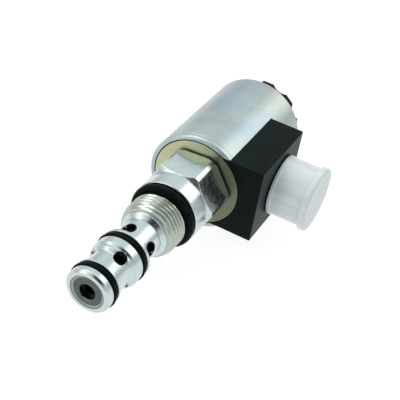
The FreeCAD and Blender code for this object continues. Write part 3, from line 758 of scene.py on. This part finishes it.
def build_sleeve():
    """Turn the stepped sleeve and drill its eight ports"""
    size = settings("valve_sleeve")
    nose, tail = span("cartridge_sleeve", 1)
    front = span("front_backup_ring", 1)[1]
    rear = span("rear_backup_ring", 1)[1]
    disc_front, disc_back = span("nose_retainer", 1)
    slope = size.rear_land - size.rear_step
    step_end = rear - size.groove_width - size.rear_run - slope
    step_start = step_end - size.step_length
    waist_end = step_start - (size.rear_step - size.front_waist)
    front_tail = front + size.front_tail
    rear_tail = rear + size.rear_tail
    edge = size.edge

    def groove(end, land, lip, tail_end, lip_rounding, waist):
        """Corners of a seal groove that ends at a station, then of the lip behind it and the waist."""
        start = end - size.groove_width
        floor = land - size.groove_depth
        return [(land, start, edge), (floor, start, edge), (floor, end, edge), (lip, end, edge),
                (lip, tail_end, lip_rounding), (waist, tail_end, 2 * edge)]

    outline = rounded([
        (size.crimp, nose, edge),
        (size.front_land - size.nose_chamfer, nose, 3 * edge),
        (size.front_land, nose + size.nose_chamfer, 3 * edge),
        *groove(front, size.front_land, size.front_lip, front_tail, edge, size.front_waist),
        (size.front_waist, waist_end, 3 * edge),
        (size.rear_step, step_start, edge),
        (size.rear_step, step_end, edge),
        (size.rear_land, step_end + slope, edge),
        *groove(rear, size.rear_land, size.rear_lip, rear_tail, 2 * edge, size.waist_radius),
        (size.waist_radius, tail, edge),
        (size.bore, tail, edge),
        (size.bore, disc_back, edge),
        (size.mouth, disc_back, edge),
        (size.mouth, disc_front, edge),
    ])
    piece = turned("sleeve", refined(outline, step=0.3 * MM), count=288)
    front_port = front_tail + size.front_port_setback
    rear_port = rear_tail + size.rear_port_setback
    rows = ((front_port, size.front_port, size.front_waist, size.front_ports_turn),
            (rear_port, size.rear_port, size.waist_radius, size.rear_ports_turn))
    carve(piece, [
        port_drill(radius, size.port_edge, wall, size.bore, station, bearing + quarter * math.pi / 2)
        for station, radius, wall, bearing in rows for quarter in range(4)
    ])
    dress(piece, bright_zinc(), "cartridge", "plated_steel", "cartridge_sleeve")
    paint("nose_retainer", nose_disc_steel())


CLOSE_ROWS = 0.11 * MM
WIDE_ROWS = 3 * MM
OUTSIDE = 0.95  # A share of the thread's root radius: what lies further out is on the outside


def build_hex_body():
    """Turn the hex body, with its helical port thread and its hexagon"""
    size = settings("valve_hex")
    sleeve = settings("valve_sleeve")
    front, back = span("hex_body", 1)
    socket = span("pole_piece", 1)[0]
    tail = span("cartridge_sleeve", 1)[1]
    pilot_start = front + size.cone_length
    pilot_end = pilot_start + size.pilot_length
    thread_start = pilot_end + size.pilot_step
    thread_full = thread_start + size.lead_in
    thread_end = -size.relief
    root = size.thread - size.thread_depth
    cone_end = size.flange_length + size.hex_cone
    tube = reach("pole_piece")
    chamber = sleeve.bore + size.chamber_step
    edge = size.edge
    outline = rounded([
        (sleeve.waist_radius, front, 0.5 * edge),
        (sleeve.waist_radius + size.front_lip, front, 0.5 * edge),
        (size.pilot, pilot_start, 3 * edge),
        (size.pilot, pilot_end, edge),
        (root, thread_start, edge),
        (size.thread, thread_full, edge),
        (size.thread, thread_end, edge),
        (size.undercut, thread_end + size.undercut_slope, 2 * edge),
        (size.undercut, 0, 2 * edge),
        (size.flange - size.flange_chamfer, 0, edge),
        (size.flange, size.flange_chamfer, edge),
        (size.flange, size.flange_length, edge),
        (size.corner, cone_end, edge),
        (size.corner, back - size.back_chamfer, edge),
        (size.corner - size.back_chamfer, back, edge),
        (tube, back, edge),
        (tube, socket, edge),
        (chamber, socket, edge),
        (chamber, tail, edge),
        (sleeve.waist_radius, tail, edge),
    ])

    def spacing(radius, station):
        """Close rows on the thread and on the cone and chamfer of the hexagon, wide rows elsewhere."""
        thread = (station > thread_start) & (station < thread_end + size.undercut_slope)
        cone = (station > size.flange_length) & (station < cone_end)
        close = (thread | cone | (station > back - size.back_chamfer)) & (radius > OUTSIDE * root)
        return np.where(close, CLOSE_ROWS, WIDE_ROWS)

    half = size.across / 2

    def shape(angle, radius, station):
        """The turned radius, held down by the hexagon's flats and by the thread's flanks.

        A flat is half the width divided by the cosine of the angle from its middle. The thread's form
        repeats along (station / pitch - angle / full turn): 60 degree flanks, a flat crest and root.
        """
        sector = math.pi / 3
        offset = (angle - size.hexagon_turn) % sector - sector / 2
        flats = np.where(station > size.flange_length - size.flat_lead, half / np.cos(offset), EVERYWHERE)
        phase = (station / size.pitch - angle / (2 * math.pi)) % 1.0
        flank = size.thread_depth + size.crest - np.abs(phase - 0.5) * size.pitch * math.sqrt(3)
        form = root + size.thread_depth - np.clip(flank, 0, size.thread_depth)
        threaded = (station > thread_start) & (station < thread_end + size.thread_run_out)
        radius = soft_min(radius, np.where(threaded, form, EVERYWHERE), size.thread_blend)
        return soft_min(radius, flats, size.flat_blend)

    piece = turned("hex_body_and_thread", refined(outline, spacing), count=360, limit=shape)
    dress(piece, bright_zinc(), "cartridge", "plated_steel", "hex_body")


def build_seals():
    """Mould the O-rings, each with its faint parting line"""
    size = settings("valve_seals")
    rubber = seal_rubber()
    for node in ("front_o_ring", "rear_o_ring", "seat_o_ring"):
        start, end = span(node, 1)
        section = (end - start) / 2
        centre = reach(node) - section
        sweep = np.linspace(0, 2 * math.pi, 48, endpoint=False)
        parting = np.exp(-((np.abs(sweep - math.pi) - math.pi) / size.flash_width) ** 2)
        thick = section - size.flash * (1 - parting)
        outline = np.column_stack([centre + thick * np.cos(sweep),
                                   (start + end) / 2 + thick * np.sin(sweep)])
        dress(turned(f"{node}_moulding", outline, count=224), rubber, "cartridge", "seal_rubber", node)
    for node in ("front_backup_ring", "rear_backup_ring", "coil_front_seal", "coil_rear_seal"):
        paint(node, rubber)


def build_coil():
    """Draw the can with its slot for the box, and turn the two pole plates"""
    size = settings("valve_coil")
    front, back = span("coil_shell", 1)
    radius = reach("coil_shell")
    bore = radius - size.wall
    line = front + size.rim + size.rim_line_setback
    outline = rounded([
        (bore, front, size.edge),
        (radius, front, size.rim),
        (radius, line, size.edge),
        (radius - size.rim_line, line + size.rim_line_width / 2, size.edge),
        (radius, line + size.rim_line_width, size.edge),
        (radius, back, size.rim),
        (bore, back, size.edge),
    ])
    can = turned("coil_can", refined(outline, step=2 * MM), count=320)
    carve(can, [slot_cutter()])
    dress(can, can_zinc(), "coil", "coil_can", "coil_shell")
    for node, outer, inward in (("coil_front_plate", front, 1), ("coil_rear_plate", back, -1)):
        low, high = span(node, 1)
        inner = high if inward > 0 else low
        step = outer + inward * size.plate_step_depth
        hole = reach("pole_piece") + size.plate_gap
        plate = turned(node + "_disc", refined(rounded([
            (hole, inner, size.edge),
            (bore, inner, size.edge),
            (bore, step, size.edge),
            (bore - size.plate_step, step, size.edge),
            (bore - size.plate_step, outer, size.edge),
            (hole, outer, size.edge),
        ]), step=1.5 * MM), count=288)
        dress(plate, yellow_chromate(), "coil", "yellow_zinc", node)


def slot_cutter():
    """A plain block as large as the connector box, which only cuts."""
    size = settings("valve_box")
    beyond = span("connector_box", 0)[1] + CUTTER_OVERRUN
    start = span("connector_box", 1)[0]
    work = bmesh.new()
    bmesh.ops.create_cube(work, size=1.0)
    for vertex in work.verts:
        vertex.co.x = 0.0 if vertex.co.x < 0 else beyond
        vertex.co.y = start - CUTTER_OVERRUN if vertex.co.y < 0 else start + size.box_length
        vertex.co.z = math.copysign(size.half_height, vertex.co.z)
    mesh = bpy.data.meshes.new("slot_cutter")
    work.to_mesh(mesh)
    work.free()
    cutter = bpy.data.objects.new("slot_cutter", mesh)
    bpy.context.collection.objects.link(cutter)
    return cutter


def build_connector():
    """Finish the moulded box, the round socket and its contacts"""
    face = span("connector_box", 0)[1] - PALE_FACE_FADE
    paint("connector_box", moulded_black("box_nylon", roughness=0.42, pale_face_from=face))
    paint("connector_barrel", moulded_black("barrel_nylon", roughness=0.36, lift=0.8))
    paint("contact_pins", turned_metal("tinned_contact", settings("valve_colours").tin, roughness=0.28))


def build_cap():
    """Mould the push-on cap with its foot ring and grip rim"""
    size = settings("valve_cap")
    start, end = span("protective_cap", 0)
    low, high = span("protective_cap", 1)
    rim = (high - low) / 2
    body = rim - size.rim_step
    bore = body - size.wall
    foot = body + size.foot_step
    ceiling = end - size.end_wall
    edge = size.edge
    outline = rounded([
        (0, ceiling, 0),
        (bore, ceiling, 6 * edge),
        (bore, start, 2 * edge),
        (foot, start, 3 * edge),
        (foot, start + size.foot_width, 3 * edge),
        (body, start + size.foot_width, 4 * edge),
        (body, end - size.rim_width, 6 * edge),
        (rim, end - size.rim_width, 5 * edge),
        (rim, end, size.round),
        (0, end, 0),
    ], closed=False)
    cap = turned("push_on_cap", refined(outline, step=1.0 * MM, closed=False), count=288, closed=False,
                 centre=(low + high) / 2)
    dress(cap, milky_cap(), "cap", "cap_plastic", "protective_cap")


def build_nut():
    """Mould the lobed coil nut"""
    size = settings("valve_nut")
    start, end = span("coil_nut", 1)
    radius = reach("coil_nut")
    hole = reach("nut_insert")
    ceiling = end - size.roof
    edge = size.edge
    outline = rounded([
        (0, ceiling, 0),
        (hole, ceiling, 2 * edge),
        (hole, start, 3 * edge),
        (radius, start, 8 * edge),
        (radius, end, size.round),
        (size.dish_rim * radius, end, 8 * edge),
        (size.dish_floor * radius, end - size.dish, 6 * edge),
        (0, end - size.dish, 0),
    ], closed=False)
    centre = radius - size.scallop_depth + size.scallop
    pace = 2 * math.pi / size.lobes

    def lobed(angle, turned_radius, station):
        """The turned radius less its distance to the rim, held down by the hollows between the lobes.

        A hollow is a circle about a point at the centre distance: along a ray at an angle from it, the
        near side of the circle is centre cos(angle) - sqrt(hollow^2 - centre^2 sin^2(angle)).
        """
        offset = angle % pace - pace / 2
        under = size.scallop ** 2 - (centre * np.sin(offset)) ** 2
        near = centre * np.cos(offset) - np.sqrt(np.maximum(under, 0))
        rim = soft_min(np.where(under > 0, near, radius), radius, 6 * edge)
        pull = np.clip((turned_radius - hole) / (radius - hole), 0, 1)
        return turned_radius - pull * (radius - rim)

    nut = turned("lobed_nut", refined(outline, step=0.8 * MM, closed=False), count=360, closed=False,
                 limit=lobed)
    dress(nut, moulded_black("nut_nylon", roughness=0.45), "nut", "nut_plastic", "coil_nut")


def finish_inner_pieces():
    """Finish the pieces inside the sleeve, the tube and the coil"""
    colours = settings("valve_colours")
    groups = (
        ("core_steel", colours.core, 0.34,
         ("pole_piece", "armature", "tube_plug", "tube_front", "tube_rear")),
        ("nitrided_steel", colours.ground, 0.30, ("spool", "push_pin", "return_spring")),
        ("turned_brass", colours.brass, 0.30, ("tube_break_ring", "pole_shim", "nut_insert")),
        ("winding_copper", colours.copper, 0.32, ("coil_winding",)),
    )
    for name, base, roughness, nodes in groups:
        material = turned_metal(name, base, roughness)
        for node in nodes:
            paint(node, material)
    paint("coil_bobbin", moulded_black("bobbin_nylon", roughness=0.5, lift=2.0))


# A height or nearness where a change in the room starts and ends, and the level before and after it
SKY = (-0.1, 0.7, 0.60, 0.95)
DARK_END = (0.86, 0.95, 1.0, 0.04)


def build_studio():
    """Set the floor, the lights and the camera"""
    size = settings("valve_studio")
    set_floor(size)
    set_world(size)
    set_lights()
    set_camera(size)
    bpy.context.scene.view_settings.view_transform = "Standard"


def set_floor(size):
    """A pale floor at the lowest point of the valve."""
    height = float(cad_box[0][2])
    half = size.floor_half
    mesh = bpy.data.meshes.new("floor")
    mesh.from_pydata([(-half, -half, height), (half, -half, height), (half, half, height),
                      (-half, half, height)], [], [(0, 1, 2, 3)])
    floor = bpy.data.objects.new("floor", mesh)
    bpy.context.collection.objects.link(floor)
    finish = Finish("floor_paint", Roughness=0.9, Specular_IOR_Level=0.0, Emission_Strength=0.92,
                    Emission_Color=(1.0, 1.0, 1.0, 1.0))
    cloud = finish.noise(finish.place(), 3.0, 2.0)
    base = tuple(size.floor_colour)
    finish.feed("Base Color", finish.mix(cloud, tone(base, 0.995), base))
    mesh.materials.append(finish.material)


def facing(size):
    """The direction from the valve to the viewer."""
    return Vector((math.sin(size.azimuth) * math.cos(size.elevation),
                   -math.cos(size.azimuth) * math.cos(size.elevation), math.sin(size.elevation)))


def set_world(size):
    """A pale room, bright above and behind, with the dark end of the room where the viewer stands."""
    world = bpy.data.worlds.new("studio")
    bpy.context.scene.world = world
    world.use_nodes = True
    room = Shading(world.node_tree)
    direction = room.node("ShaderNodeTexCoord", output="Generated")
    nearness = room.node("ShaderNodeVectorMath", {"operation": "DOT_PRODUCT"},
                         {0: direction, 1: facing(size)}, output="Value")
    level = room.parts(direction)[2].steps(*SKY) * nearness.steps(*DARK_END)
    background = room.tree.nodes["Background"]
    background.inputs["Color"].default_value = (0.96, 1.0, 1.0, 1.0)
    room.tree.links.new(level.socket, background.inputs["Strength"])


def set_lights():
    """Large soft boxes: one above to the left, one behind, one low at the front."""
    boxes = (
        ("key_box", (-0.45, 0.10, 0.80), (0.0, 0.02, 0.0), 0.6, 2.4, (1.0, 1.0, 1.0)),
        ("back_box", (0.38, 0.66, 0.50), (0.0, 0.02, 0.0), 0.50, 0.9, (1.0, 0.97, 0.90)),
        ("front_box", (-0.55, -0.65, 0.30), (0.0, 0.0, 0.0), 0.3, 1.0, (1.0, 1.0, 1.0)),
    )
    for name, place, target, side, power, shade in boxes:
        light = bpy.data.lights.new(name, "AREA")
        light.size = side
        light.energy = power
        light.color = shade
        item = bpy.data.objects.new(name, light)
        item.location = place
        item.rotation_euler = (Vector(target) - Vector(place)).to_track_quat("-Z", "Y").to_euler()
        bpy.context.collection.objects.link(item)


def set_camera(size):
    """The camera: its back, right and up directions from azimuth and elevation, then rolled."""
    lens = bpy.data.cameras.new("camera")
    lens.lens = size.focal
    lens.sensor_width = size.sensor
    lens.clip_end = size.far
    camera = bpy.data.objects.new("camera", lens)
    back = facing(size)
    right = Vector((math.cos(size.azimuth), math.sin(size.azimuth), 0))
    up = back.cross(right)
    side = right * math.cos(size.roll) + up * math.sin(size.roll)
    top = up * math.cos(size.roll) - right * math.sin(size.roll)
    turned_view = Matrix((side, top, back)).transposed().to_4x4()
    camera.matrix_world = Matrix.Translation(size.camera_place) @ turned_view
    bpy.context.collection.objects.link(camera)
    bpy.context.scene.camera = camera


def operator_for(build):
    """An operator that runs a function, with its name and its docstring."""
    def execute(self, context):
        build()
        return {"FINISHED"}
    name = build.__name__
    return type("VALVE_OT_" + name, (bpy.types.Operator,), {
        "__doc__": build.__doc__, "bl_idname": "valve." + name,
        "bl_label": name.replace("_", " ").capitalize(), "execute": execute,
    })


BUILDERS = [operator_for(build) for build in (
    build_sleeve, build_hex_body, build_seals, build_coil, build_connector, build_cap, build_nut,
    finish_inner_pieces, build_studio)]
GROUPS = {
    "valve_sleeve": SleeveSizes,
    "valve_hex": HexSizes,
    "valve_seals": SealSizes,
    "valve_coil": CoilSizes,
    "valve_box": BoxSizes,
    "valve_cap": CapSizes,
    "valve_nut": NutSizes,
    "valve_studio": StudioSizes,
    "valve_colours": FinishColours,
}


class ValvePanel(bpy.types.Panel):
    """Lists the valve's builders"""
    bl_idname = "VALVE_PT_builders"
    bl_label = "Cartridge valve"
    bl_space_type = "VIEW_3D"
    bl_region_type = "UI"
    bl_category = "Valve"

    def draw(self, context):
        for builder in BUILDERS:
            self.layout.operator(builder.bl_idname)


def register():
    """Add the classes, and each settings group on the scene, with its fields' names as their labels."""
    for name, group in GROUPS.items():
        for field, item in group.__annotations__.items():
            item.keywords["name"] = field.replace("_", " ").capitalize()
        bpy.utils.register_class(group)
        setattr(bpy.types.Scene, name, PointerProperty(type=group))
    for item in (*BUILDERS, ValvePanel):
        bpy.utils.register_class(item)


def unregister():
    """Take the classes and the settings away again."""
    for item in (ValvePanel, *reversed(BUILDERS)):
        bpy.utils.unregister_class(item)
    for name, group in GROUPS.items():
        delattr(bpy.types.Scene, name)
        bpy.utils.unregister_class(group)


def main():
    """Build everything in order and note both boxes."""
    register()
    for builder in BUILDERS:
        group, name = builder.bl_idname.split(".")
        getattr(getattr(bpy.ops, group), name)()


if __name__ == "__main__":
    main()
